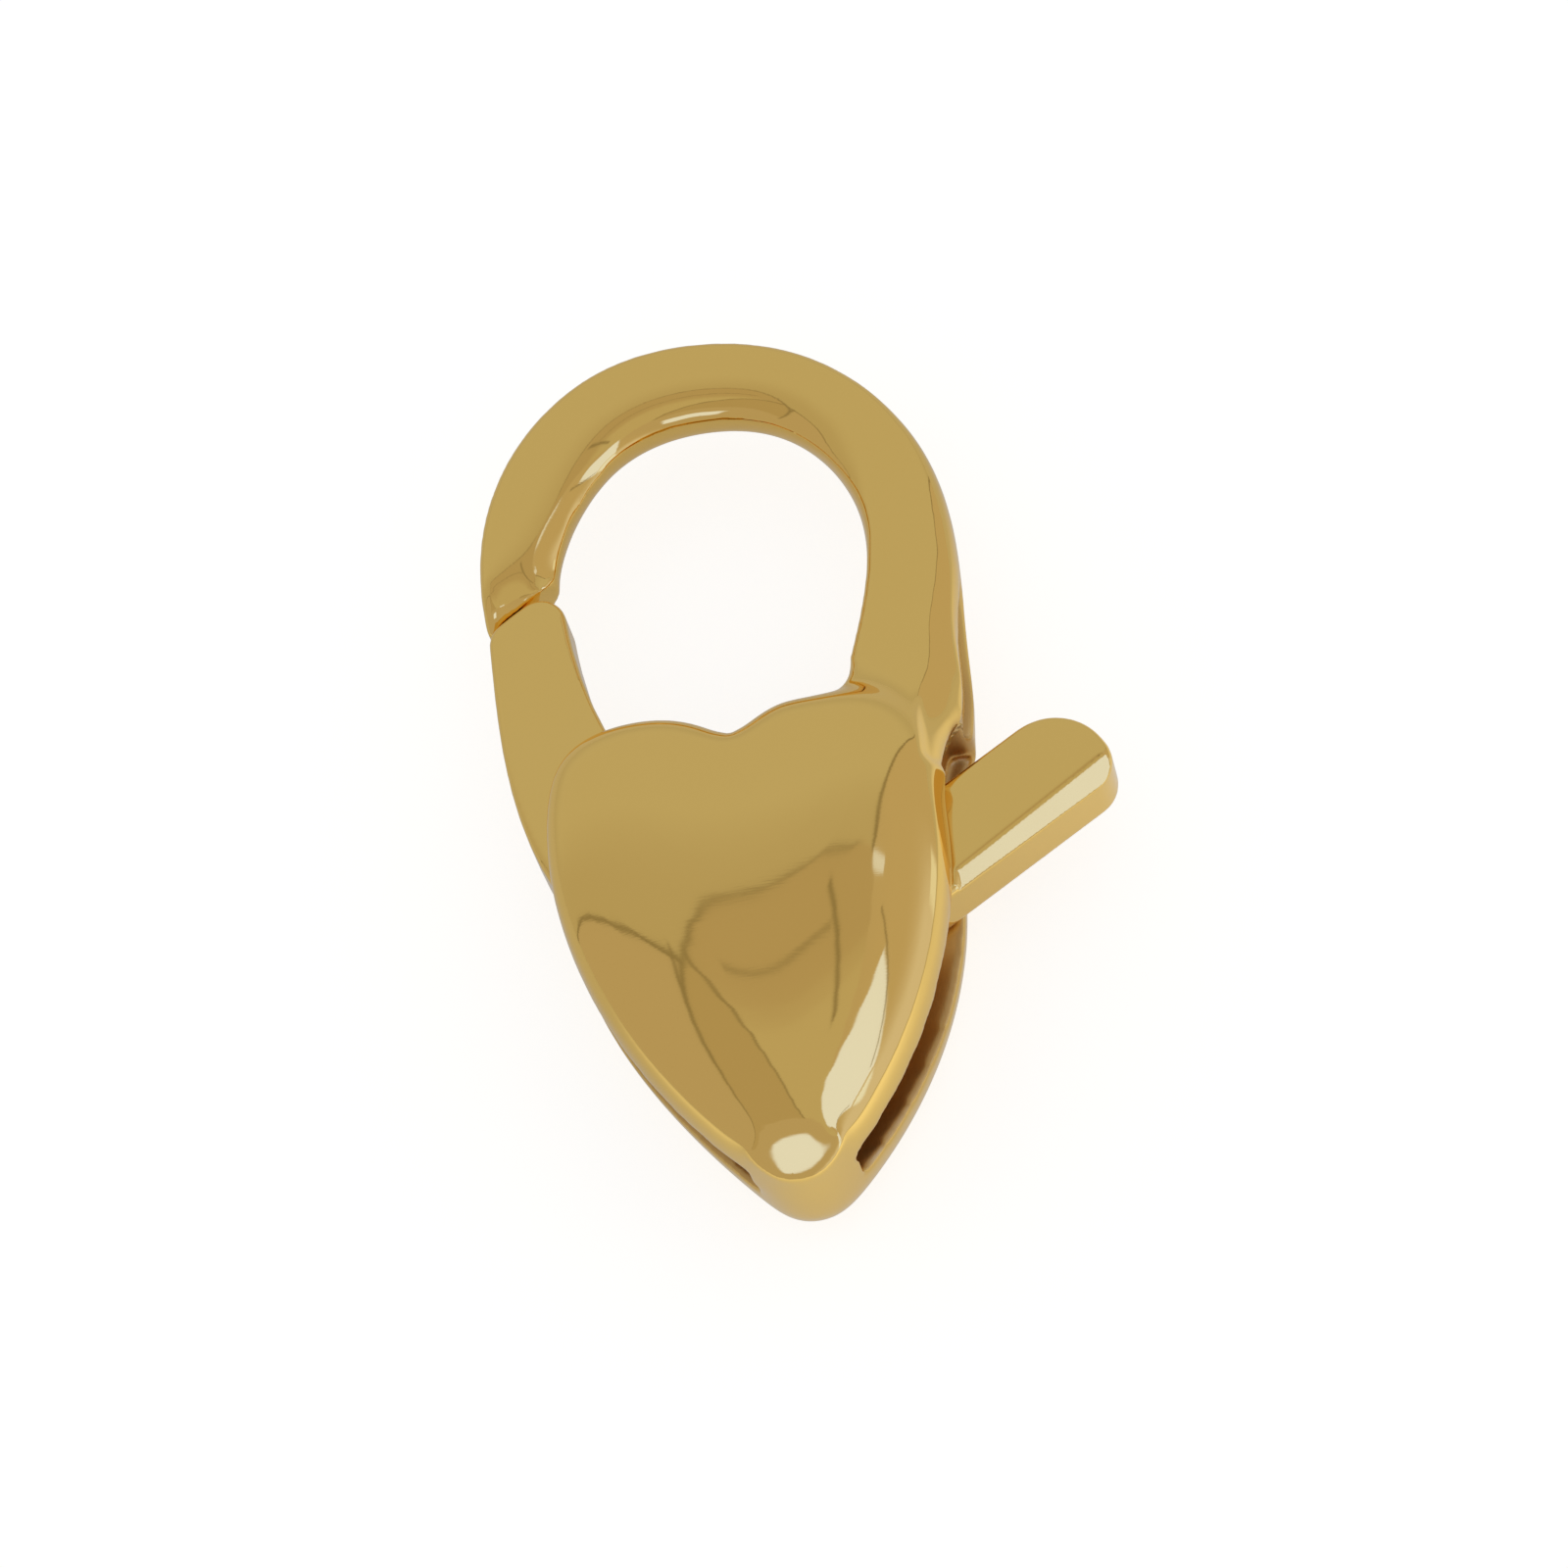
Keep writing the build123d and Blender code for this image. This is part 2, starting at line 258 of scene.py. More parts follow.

# Floor in metres, and the painted pools of light that the metal sees in front and on the right
FLOOR_SIZE = 1.2
FLOOR_ROUGHNESS = 0.9
POOL_NEAR = (0.09, 0.01)
POOL_BASE = 0.03
POOL_FRONT = 0.23
POOL_FRONT_Y = (-0.004, -0.013)
POOL_RIGHT = 0.22
POOL_RIGHT_X = (-0.002, 0.008)
POOL_RIGHT_Y = (0.007, 0.002)

# Camera: sensor width in millimetres, nearest distance in metres, and its right, up and back
SENSOR_WIDTH = 36.0
CLIP_START = 0.001
CAMERA_AXES = (
    Vector((0.98246827, -0.10298279, -0.15540476)),
    Vector((0.16076889, 0.89005428, 0.42656387)),
    Vector((0.09438993, -0.44406972, 0.89100652)),
)


# Settings

class ClaspGoldSettings(bpy.types.PropertyGroup):
    """Colours and polish of the gold."""

    colour: FloatVectorProperty(
        name="Gold", description="Colour of the polished gold", subtype="COLOR",
        default=GOLD, min=0.0, max=1.0,
    )
    warm: FloatVectorProperty(
        name="Warm gold", description="Redder colour in the patches", subtype="COLOR",
        default=WARM_GOLD, min=0.0, max=1.0,
    )
    polish: FloatProperty(
        name="Roughness", description="Roughness of the polish",
        default=POLISH, min=0.0, max=1.0,
    )
    wave: FloatProperty(
        name="Waves", description="Height of the soft waves that casting leaves",
        default=WAVE, subtype="DISTANCE", unit="LENGTH", precision=7,
    )
    hairline: FloatProperty(
        name="Hairlines", description="Depth of the polishing hairlines",
        default=HAIRLINE, subtype="DISTANCE", unit="LENGTH", precision=7,
    )


class ClaspShapeSettings(bpy.types.PropertyGroup):
    """How finely the cast pieces are made and how they are polished, in millimetres."""

    body_grid: FloatProperty(
        name="Body grid", description="Grid size of the body's mesh", default=0.0585, min=0.01,
    )
    lever_grid: FloatProperty(
        name="Lever grid", description="Grid size of the lever's mesh", default=0.04, min=0.01,
    )
    body_passes: IntProperty(
        name="Body passes", description="Smoothing passes on the body", default=12, min=0,
    )
    lever_passes: IntProperty(
        name="Lever passes", description="Smoothing passes on the lever", default=5, min=0,
    )
    lip_passes: IntProperty(
        name="Lip passes", description="Smoothing passes on the slot's edges", default=14, min=0,
    )
    rim_passes: IntProperty(
        name="Rim passes", description="Smoothing passes at the heart's rim", default=45, min=0,
    )
    blend_passes: IntProperty(
        name="Blend passes", description="Smoothing passes at the column's foot",
        default=260, min=0,
    )
    face_passes: IntProperty(
        name="Face passes", description="Smoothing passes on the broad faces",
        default=200, min=0,
    )
    thumb_passes: IntProperty(
        name="Thumb passes", description="Smoothing passes on the thumb tab's edges",
        default=2, min=0,
    )
    chamfer_width: FloatProperty(
        name="Chamfer width", description="Width of the thumb tab's slanting edge",
        default=0.29, min=0.0,
    )
    chamfer_angle: FloatProperty(
        name="Chamfer angle", description="Slant of the thumb tab's edge",
        default=math.radians(21.0), subtype="ANGLE", unit="ROTATION",
    )
    chamfer_fall: FloatProperty(
        name="Chamfer fall", description="How the edge deepens outwards, per millimetre",
        default=0.012,
    )


class ClaspStageSettings(bpy.types.PropertyGroup):
    """Camera, floor and light."""

    camera_place: FloatVectorProperty(
        name="Camera", description="Where the camera stands", subtype="TRANSLATION", unit="LENGTH",
        default=(0.01012378, -0.04963979, 0.10057061), precision=6,
    )
    lens: FloatProperty(
        name="Lens", description="Focal length in millimetres", default=163.357, min=1.0,
        unit="CAMERA",
    )
    floor_colour: FloatVectorProperty(
        name="Floor", description="Colour of the floor", subtype="COLOR",
        default=(0.46, 0.45, 0.43), min=0.0, max=1.0,
    )
    floor_glow: FloatProperty(
        name="Floor glow", description="Light that shines up through the floor, as the camera "
        "sees it", default=0.55, min=0.0,
    )
    floor_bounce: FloatProperty(
        name="Floor bounce", description="Glow of the floor that the metal sees",
        default=0.23, min=0.0,
    )
    backdrop: FloatVectorProperty(
        name="Backdrop", description="Colour behind the floor, as the camera sees it",
        subtype="COLOR", default=(0.9, 0.9, 0.9), min=0.0, max=1.0,
    )
    sky: FloatProperty(
        name="Tent", description="Brightness of the tent all round", default=1.0, min=0.0,
    )
    high_tent: FloatVectorProperty(
        name="Far half", description="Colour of the tent beyond the piece", subtype="COLOR",
        default=(0.53, 0.53, 0.53), min=0.0, max=4.0,
    )
    horizon: FloatVectorProperty(
        name="Horizon", description="Colour of the far half low down", subtype="COLOR",
        default=(0.48, 0.475, 0.46), min=0.0, max=4.0,
    )
    far_edge: FloatVectorProperty(
        name="Far edge", description="Colour of the far half above the screen", subtype="COLOR",
        default=(0.48, 0.465, 0.445), min=0.0, max=4.0,
    )
    low_tent: FloatVectorProperty(
        name="Near half", description="Colour of the tent on the camera's side", subtype="COLOR",
        default=(0.485, 0.452, 0.445), min=0.0, max=4.0,
    )
    low_horizon: FloatVectorProperty(
        name="Near horizon", description="Colour of the near half low down on the right",
        subtype="COLOR", default=(0.66, 0.68, 0.9), min=0.0, max=4.0,
    )
    warm_tent: FloatVectorProperty(
        name="Warm side", description="Colour of the near half's right side", subtype="COLOR",
        default=(0.515, 0.476, 0.45), min=0.0, max=4.0,
    )
    screen: FloatVectorProperty(
        name="Screen", description="Colour of the screen under the far edge", subtype="COLOR",
        default=(0.455, 0.415, 0.38), min=0.0, max=4.0,
    )
    screen_front: FloatVectorProperty(
        name="Screen front", description="Colour of the screen's nearer part", subtype="COLOR",
        default=(0.515, 0.5, 0.475), min=0.0, max=4.0,
    )
    wing: FloatVectorProperty(
        name="Screen wing", description="Colour of the screen's left wing", subtype="COLOR",
        default=(0.445, 0.405, 0.36), min=0.0, max=4.0,
    )
    seam: FloatVectorProperty(
        name="Seam", description="Colour of the seams between the tent's parts", subtype="COLOR",
        default=(0.26, 0.24, 0.2), min=0.0, max=4.0,
    )


# Mesh helpers

def only(obj):
    """Leaves just this object selected and active."""
    bpy.ops.object.select_all(action="DESELECT")
    obj.select_set(True)
    bpy.context.view_layer.objects.active = obj


def copy_of_node(node, name):
    """A copy of a CAD node's mesh as a new piece, with its loose triangles merged."""
    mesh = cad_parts[node].data.copy()
    mesh.name = name
    mesh.materials.clear()
    piece = bpy.data.objects.new(name, mesh)
    bpy.context.scene.collection.objects.link(piece)
    only(piece)
    if mesh.has_custom_normals:
        bpy.ops.mesh.customdata_custom_splitnormals_clear()
    bpy.ops.object.mode_set(mode="EDIT")
    bpy.ops.mesh.select_all(action="SELECT")
    bpy.ops.mesh.remove_doubles(threshold=MERGE_DISTANCE)
    bpy.ops.object.mode_set(mode="OBJECT")
    return piece


def scale_mesh(piece, factor):
    """Scales a piece's mesh about the origin and leaves its object unscaled."""
    only(piece)
    piece.scale = (factor, factor, factor)
    bpy.ops.object.transform_apply(location=False, rotation=False, scale=True)


def apply_modifier(piece, kind, **settings):
    """Adds one modifier with these settings and applies it."""
    only(piece)
    modifier = piece.modifiers.new(kind.title(), kind)
    for key, value in settings.items():
        setattr(modifier, key, value)
    bpy.ops.object.modifier_apply(modifier=modifier.name)


def add_fillers(piece, fillers):
    """Joins small balls to a piece where its parts should run into each other."""
    balls = []
    for place, radii in fillers:
        bpy.ops.object.select_all(action="DESELECT")
        bpy.ops.mesh.primitive_uv_sphere_add(
            segments=48, ring_count=24, location=place, scale=radii
        )
        bpy.ops.object.transform_apply(location=True, rotation=True, scale=True)
        balls.append(bpy.context.active_object)
    only(piece)
    for ball in balls:
        ball.select_set(True)
    bpy.ops.object.join()


def polish(piece, grid, passes, fillers=()):
    """Turns a merged mesh into an even fine one and rounds its edges, as tumbling does."""
    scale_mesh(piece, WORK_SCALE)
    if fillers:
        add_fillers(piece, fillers)
    apply_modifier(piece, "REMESH", mode="VOXEL", voxel_size=grid, adaptivity=0.0)
    apply_modifier(piece, "SMOOTH", factor=0.5, iterations=passes)


def step(values, low, high):
    """0 at low and 1 at high, with a soft step between them, for whole arrays."""
    share = np.clip((values - low) / (high - low), 0.0, 1.0)
    return share * share * (3.0 - 2.0 * share)


def reach_from(spots, middle, radii=(1.0, 1.0)):
    """How far each vertex is from a middle in X and Y, as a share of the radii."""
    return np.hypot((spots[:, 0] - middle[0]) / radii[0], (spots[:, 1] - middle[1]) / radii[1])


def edge_drop(depth, radius):
    """How far a rounded edge lies under the face beside it, so deep inside its outline."""
    return radius - np.sqrt(radius ** 2 - (radius - np.clip(depth, 0.0, radius)) ** 2)


def vertex_array(piece, name):
    """One vector of each of a mesh's vertices, as an array."""
    flat = np.empty(len(piece.data.vertices) * 3)
    piece.data.vertices.foreach_get(name, flat)
    return flat.reshape(-1, 3)


def spots_of(piece):
    """A mesh's vertices as an array."""
    return vertex_array(piece, "co")


def normals_of(piece):
    """A mesh's vertex normals as an array."""
    return vertex_array(piece, "normal")


def move_to(piece, spots):
    """Puts a mesh's vertices at these places."""
    piece.data.vertices.foreach_set("co", spots.ravel())
    piece.data.update()


def spread_out(piece, values, rounds):
    """Averages values over each vertex's neighbours, several times over."""
    pairs = np.empty(len(piece.data.edges) * 2, dtype=np.int64)
    piece.data.edges.foreach_get("vertices", pairs)
    first, second = pairs.reshape(-1, 2).T
    count = len(values)
    valence = np.bincount(first, minlength=count) + np.bincount(second, minlength=count)
    for _ in range(rounds):
        total = values.copy()
        for column in range(values.shape[1]):
            total[:, column] += np.bincount(first, values[second, column], count)
            total[:, column] += np.bincount(second, values[first, column], count)
        values = total / (valence + 1)[:, None]
    return values


def open_faces(piece):
    """1 on broad even faces and 0 near edges, from how much the normals turn nearby."""
    mean = spread_out(piece, normals_of(piece), OPEN_FACE_ROUNDS)
    even = step(1.0 - np.linalg.norm(mean, axis=1), *OPEN_FACE_TURN)
    return spread_out(piece, even[:, None], OPEN_FACE_BLUR)[:, 0]


def soften(piece, passes, weights):
    """Smooths a piece's surface, by the weight that a function gives each vertex."""
    group = piece.vertex_groups.new(name="soften")
    share = np.round(weights(spots_of(piece)) * WEIGHT_LEVELS).astype(int)
    for level in range(1, WEIGHT_LEVELS + 1):
        group.add(np.flatnonzero(share == level).tolist(), level / WEIGHT_LEVELS, "REPLACE")
    apply_modifier(piece, "SMOOTH", factor=0.5, iterations=passes, vertex_group=group.name)
    piece.vertex_groups.clear()


def mark(piece, name, values):
    """Writes a named number from 0 to 1 on each vertex, for the material to read."""
    numbers = values(spots_of(piece), normals_of(piece))[:, None]
    numbers = spread_out(piece, numbers, MARK_BLUR)
    layer = piece.data.attributes.new(name, "FLOAT", "POINT")
    layer.data.foreach_set("value", numbers[:, 0].astype(np.float32))


def finish_piece(piece, node, body, material):
    """Puts a finished piece in place of its CAD node."""
    only(piece)
    bpy.ops.object.shade_smooth()
    piece.data.materials.append(material)
    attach(piece, body)
    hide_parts(node)


# Node helpers

def feed(tree, value, place):
    """Gives an input its value, which is another node's socket or a constant."""
    if isinstance(value, bpy.types.NodeSocket):
        tree.links.new(value, place)
    else:
        place.default_value = value


def socket(group, name, kind, direction, default=None):
    """Adds a named socket to a node group."""
    item = group.interface.new_socket(name=name, in_out=direction, socket_type=kind)
    if default is not None:
        item.default_value = default


def noise(tree, vector, scale, detail, rough=0.5):
    """A noise texture on these coordinates."""
    node = tree.nodes.new("ShaderNodeTexNoise")
    node.inputs["Detail"].default_value = detail
    node.inputs["Roughness"].default_value = rough
    feed(tree, scale, node.inputs["Scale"])
    tree.links.new(vector, node.inputs["Vector"])
    return node.outputs["Fac"]


def math_node(tree, operation, first, second=0.0, third=0.0):
    """One sum, product or the like; each term is a socket or a number."""
    node = tree.nodes.new("ShaderNodeMath")
    node.operation = operation
    for value, place in zip((first, second, third), node.inputs):
        feed(tree, value, place)
    return node.outputs[0]


def product(tree, *terms):
    """All the terms multiplied together; each is a socket or a number."""
    result = terms[0]
    for term in terms[1:]:
        result = math_node(tree, "MULTIPLY", result, term)
    return result


def dot_product(tree, first, second):
    """How far one direction points along another, which is a socket or three numbers."""
    node = tree.nodes.new("ShaderNodeVectorMath")
    node.operation = "DOT_PRODUCT"
    tree.links.new(first, node.inputs[0])
    feed(tree, second, node.inputs[1])
    return node.outputs["Value"]


def parts_of(tree, vector):
    """The X, Y and Z of a vector."""
    node = tree.nodes.new("ShaderNodeSeparateXYZ")
    tree.links.new(vector, node.inputs[0])
    return [node.outputs[axis] for axis in "XYZ"]


def smooth(tree, value, low, high):
    """0 at low and 1 at high, with a soft step between them."""
    node = tree.nodes.new("ShaderNodeMapRange")
    node.interpolation_type = "SMOOTHSTEP"
    tree.links.new(value, node.inputs["Value"])
    feed(tree, low, node.inputs["From Min"])
    feed(tree, high, node.inputs["From Max"])
    return node.outputs["Result"]


def mixed(tree, factor, first, second):
    """A mix of two colours; each is a socket or three numbers."""
    node = tree.nodes.new("ShaderNodeMix")
    node.data_type = "RGBA"
    tree.links.new(factor, node.inputs["Factor"])
    for colour, place in ((first, node.inputs["A"]), (second, node.inputs["B"])):
        if not isinstance(colour, bpy.types.NodeSocket):
            colour = (*colour, 1.0)
        feed(tree, colour, place)
    return node.outputs["Result"]


# Materials

def polished_gold_group():
    """Shared effect: patches of colour, uneven polish, casting waves and polishing hairlines."""
    group = bpy.data.node_groups.new("Polished Gold Surface", "ShaderNodeTree")
    socket(group, "Gold", "NodeSocketColor", "INPUT", (*GOLD, 1.0))
    socket(group, "Warm Gold", "NodeSocketColor", "INPUT", (*WARM_GOLD, 1.0))
    socket(group, "Patch Scale", "NodeSocketFloat", "INPUT", PATCH_SCALE)
    socket(group, "Roughness", "NodeSocketFloat", "INPUT", POLISH)
    socket(group, "Wave Height", "NodeSocketFloat", "INPUT", WAVE)
    socket(group, "Hairline Depth", "NodeSocketFloat", "INPUT", HAIRLINE)
    socket(group, "Colour", "NodeSocketColor", "OUTPUT")
    socket(group, "Roughness", "NodeSocketFloat", "OUTPUT")
    socket(group, "Height", "NodeSocketFloat", "OUTPUT")
    given = group.nodes.new("NodeGroupInput").outputs
    result = group.nodes.new("NodeGroupOutput").inputs
    place = group.nodes.new("ShaderNodeTexCoord").outputs["Object"]

    patch = noise(group, place, given["Patch Scale"], 1.0)
    feed(group, mixed(group, patch, given["Gold"], given["Warm Gold"]), result["Colour"])

    smear = noise(group, place, SMEAR_SCALE, 1.0, 0.6)
    uneven = math_node(group, "MULTIPLY_ADD", smear, SMEAR_SPAN, -SMEAR_SPAN / 2)
    feed(group, math_node(group, "ADD", given["Roughness"], uneven), result["Roughness"])

    wave = product(group, noise(group, place, WAVE_SCALE, 0.0), given["Wave Height"])
    hair = group.nodes.new("ShaderNodeMapping")
    hair.inputs["Rotation"].default_value = HAIRLINE_TURN
    hair.inputs["Scale"].default_value = HAIRLINE_STRETCH
    group.links.new(place, hair.inputs["Vector"])
    lines = noise(group, hair.outputs["Vector"], HAIRLINE_SCALE, 1.0)
    scratch = product(group, lines, given["Hairline Depth"])
    feed(group, math_node(group, "ADD", wave, scratch), result["Height"])
    return group


def surface_group():
    """The shared gold surface, made once."""
    return bpy.data.node_groups.get("Polished Gold Surface") or polished_gold_group()


def gold_material(name, colour, warm, roughness, wave, hairline, patch_scale=PATCH_SCALE):
    """Polished gold with its own values of the shared surface."""
    material = bpy.data.materials.new(name)
    material.use_nodes = True
    tree = material.node_tree
    shader = tree.nodes["Principled BSDF"]
    shader.inputs["Metallic"].default_value = 1.0
    surface = tree.nodes.new("ShaderNodeGroup")
    surface.node_tree = surface_group()
    surface.inputs["Gold"].default_value = (*colour, 1.0)
    surface.inputs["Warm Gold"].default_value = (*warm, 1.0)
    surface.inputs["Patch Scale"].default_value = patch_scale
    surface.inputs["Roughness"].default_value = roughness
    surface.inputs["Wave Height"].default_value = wave
    surface.inputs["Hairline Depth"].default_value = hairline
    bump = tree.nodes.new("ShaderNodeBump")
    bump.inputs["Distance"].default_value = 1.0
    # Painted shade: the vertex mark darkens the gold to a set colour and roughens it
    marked = tree.nodes.new("ShaderNodeAttribute")
    marked.attribute_name = "painted_slot_shade"
    painted_slot_shade = marked.outputs["Fac"]
    base = mixed(tree, painted_slot_shade, surface.outputs["Colour"], SLOT_SHADE_COLOUR)
    dull = product(tree, painted_slot_shade, SLOT_SHADE_DULLNESS)
    tree.links.new(base, shader.inputs["Base Color"])
    tree.links.new(
        math_node(tree, "ADD", surface.outputs["Roughness"], dull), shader.inputs["Roughness"]
    )
    tree.links.new(surface.outputs["Height"], bump.inputs["Height"])
    tree.links.new(bump.outputs["Normal"], shader.inputs["Normal"])
    return material


# The light tent

def toward(across, up):
    """The direction so many degrees right of and above the point overhead."""
    tilt = math.hypot(across, up)
    flat = math.sin(math.radians(tilt)) / max(tilt, 1e-6)
    return Vector((across * flat, up * flat, math.cos(math.radians(tilt))))


def plane_through(first, second):
    """Where the plane through two such directions faces."""
    return toward(*first).cross(toward(*second)).normalized()


def side(tree, direction, facing):
    """1 on one side of a straight edge of the tent and 0 on the other, and the edge's own seam."""
    value = dot_product(tree, direction, facing)
    seam = smooth(tree, math_node(tree, "ABSOLUTE", value), *EDGE_SEAM)
    return smooth(tree, value, -EDGE_SOFTNESS, EDGE_SOFTNESS), seam


def inside_corners(tree, direction, corners):
    """Positive inside a shape with rounded corners, given by its corners anticlockwise."""
    value = None
    for first, second in zip(corners, corners[1:] + corners[:1]):
        edge = dot_product(tree, direction, plane_through(first, second))
        if value is None:
            value = edge
        else:
            value = math_node(tree, "SMOOTH_MIN", value, edge, SCREEN_CORNER_ROUND)
    return value


def panel_group():
    """Mask of one flat panel of the tent, seen in a direction from the piece."""
    group = bpy.data.node_groups.new("Tent Panel", "ShaderNodeTree")
    for name in ("Direction", "Facing", "Across", "Upright"):
        socket(group, name, "NodeSocketVector", "INPUT")
    for name in ("Half Width", "Half Height", "Soft Edge"):
        socket(group, name, "NodeSocketFloat", "INPUT", 0.1)
    socket(group, "Mask", "NodeSocketFloat", "OUTPUT")
    given = group.nodes.new("NodeGroupInput").outputs
    result = group.nodes.new("NodeGroupOutput").inputs
    along = {
        name: dot_product(group, given["Direction"], given[name])
        for name in ("Facing", "Across", "Upright")
    }
    mask = math_node(group, "GREATER_THAN", along["Facing"], PANEL_HORIZON)
    for name, half in (("Across", "Half Width"), ("Upright", "Half Height")):
        offset = math_node(group, "DIVIDE", along[name], along["Facing"])
        offset = math_node(group, "ABSOLUTE", offset)
        outer = math_node(group, "ADD", given[half], given["Soft Edge"])
        inner = math_node(group, "SUBTRACT", given[half], given["Soft Edge"])
        mask = product(group, mask, smooth(group, offset, outer, inner))
    feed(group, mask, result["Mask"])
    return group


def panel(tree, group, direction, across, up, turn, half_width, half_height, soft):
    """One panel; its middle is so many degrees right of and above the point overhead."""
    tilt = math.hypot(across, up)
    heading = math.atan2(up, across)
    hinge = Vector((-math.sin(heading), math.cos(heading), 0.0))
    lean = Matrix.Rotation(math.radians(tilt), 3, hinge)
    axes = lean @ Matrix.Rotation(math.radians(turn), 3, Vector((0.0, 0.0, 1.0)))
    node = tree.nodes.new("ShaderNodeGroup")
    node.node_tree = group
    tree.links.new(direction, node.inputs["Direction"])
    for name, axis in (("Facing", (0, 0, 1)), ("Across", (1, 0, 0)), ("Upright", (0, 1, 0))):
        node.inputs[name].default_value = axes @ Vector(axis)
    node.inputs["Half Width"].default_value = math.tan(math.radians(half_width))
    node.inputs["Half Height"].default_value = math.tan(math.radians(half_height))
    node.inputs["Soft Edge"].default_value = math.radians(soft)
    return node.outputs["Mask"]


# Pieces

class CLASP_OT_cast_body(bpy.types.Operator):
    """Hook, column and heart as one polished casting"""

    bl_idname = "clasp.cast_body"
    bl_label = "Cast Body"

    def execute(self, context):
        shape = context.scene.clasp_shape
        gold = context.scene.clasp_gold
        piece = copy_of_node("body", "cast_body")
        polish(piece, shape.body_grid, shape.body_passes, COLUMN_FILLERS)
        soften(piece, shape.lip_passes, self.lip_weights)
        self.fill_tip(piece)
        self.crown_ring(piece)
        self.round_hook_end(piece)
        soften(piece, shape.rim_passes, self.rim_weights)
        self.raise_foot(piece)
        soften(piece, shape.blend_passes, self.foot_weights)
        self.crown_column(piece)
        soften(piece, shape.face_passes, lambda spots: open_faces(piece))
        self.cut_groove(piece)
        # Painted shade: darker, rougher gold inside the slot, on its web and in the groove
        mark(piece, "painted_slot_shade", self.painted_slot_shade)
        scale_mesh(piece, 1 / WORK_SCALE)
        material = gold_material(
            "polished_gold_casting", gold.colour, gold.warm, roughness=gold.polish,
            wave=gold.wave, hairline=gold.hairline,
        )
        finish_piece(piece, "body", "clasp", material)
        return {"FINISHED"}

    def lip_weights(self, spots):
        """The slot's long edges below the column, and its lower end."""
        height = np.abs(spots[:, 2] - SLOT_MIDDLE)
        band = step(height, *LIP_INNER) * step(height, *LIP_OUTER)
        end = step(height, *LIP_OUTER) * step(spots[:, 1], *LIP_END)
        return np.maximum(band * step(spots[:, 1], *LIP_TOP), end)

    def rim_weights(self, spots):
        """The heart's front half above the slot."""
        left = step(spots[:, 0], *RIM_LEFT_X) * step(spots[:, 1], *RIM_LEFT_Y)
        along = step(spots[:, 1], *RIM_TOP) * step(spots[:, 1], *RIM_END)
        return step(spots[:, 2], *RIM_RISE) * along * (1.0 - RIM_LEFT_LESS * left)

    def fill_tip(self, piece):
        """Gives the puffed front's lower end a flatter face and a smaller round."""
        spots = spots_of(piece)
        aside = np.abs(spots[:, 0] - TIP_MIDDLE[0])
        up = spots[:, 1] - TIP_MIDDLE[1]
        flank = math.radians(TIP_FLANK)
        edge = TIP_RADIUS - np.hypot(aside, up)
        beside = np.arctan2(aside, -up) > flank
        edge[beside] = (TIP_RADIUS - aside * math.sin(flank) + up * math.cos(flank))[beside]
        face = TIP_FACE_Z + TIP_FACE_SLOPE * (up - TIP_FACE_HEIGHT)
        face -= TIP_FACE_CROWN * aside * aside + edge_drop(edge, EDGE_ROUND)
        share = step(spots[:, 2], *TIP_FADE_Z) * step(up, *TIP_FADE_UP)
        share *= step(aside, *TIP_FADE_ASIDE)
        spots[:, 2] += share * (face - spots[:, 2])
        move_to(piece, spots)

    def crown_ring(self, piece):
        """Gives the ring's inner side a long gentle crown and a small round at its edge."""
        spots = spots_of(piece)
        right = spots[:, 0] - RING_MIDDLE[0]
        up = spots[:, 1] - RING_MIDDLE[1]
        reach = np.hypot(right, up)
        angle = np.degrees(np.arctan2(up, right)) % 360.0
        angle[angle > RING_BREAK] -= 360.0
        start, stop = RING_ARC
        layer = np.abs(spots[:, 2] - SLOT_MIDDLE) < RING_LAYER
        layer &= (reach < RING_INNER_REACH) & (angle > start) & (angle < stop)
        inner = np.polynomial.Polynomial.fit(angle[layer], reach[layer], RING_CURVE_DEGREE)
        depth = np.clip(reach - inner(np.clip(angle, start, stop)), 0.0, 1.0)
        crown = RING_CROWN * np.clip(RING_CROWN_WIDTH - depth, 0.0, None) ** 2
        share = step(spots[:, 2], *RING_FADE_Z) * step(angle, *RING_FADE_START)
        share *= step(angle, *RING_FADE_STOP)
        share *= (reach < RING_OUTER_REACH) * (spots[:, 1] > RING_LOWEST)
        spots[:, 2] += share * (edge_drop(depth, RING_ROUND) - crown - edge_drop(depth, EDGE_ROUND))
        move_to(piece, spots)

    def round_hook_end(self, piece):
        """Rolls the hook's front over towards its free end."""
        spots = spots_of(piece)
        right = spots[:, 0] - HOOK_END[0]
        up = spots[:, 1] - HOOK_END[1]
        past = (up - HOOK_END_SLOPE * right) / math.hypot(1.0, HOOK_END_SLOPE)
        near = np.clip(1.0 - past / HOOK_END_WIDTH, 0.0, 1.0)
        near *= (spots[:, 0] < HOOK_END_RIGHT) * (np.abs(past) < HOOK_END_REACH)
        spots[:, 2] -= HOOK_END_DROP * near * near * step(spots[:, 2], *HOOK_END_FADE_Z)
        move_to(piece, spots)

    def raise_foot(self, piece):
        """Fills the inner corner between the column's left side and the lobe's upper edge."""
        spots = spots_of(piece)
        near = step(reach_from(spots, FOOT_CORNER, FOOT_CORNER_RADII), *FOOT_CORNER_FADE)
        between = step(spots[:, 2], *FOOT_LIFT_OVER) * step(spots[:, 2], *FOOT_LIFT_UNDER)
        spots[:, 2] += FOOT_LIFT * near * between
        move_to(piece, spots)

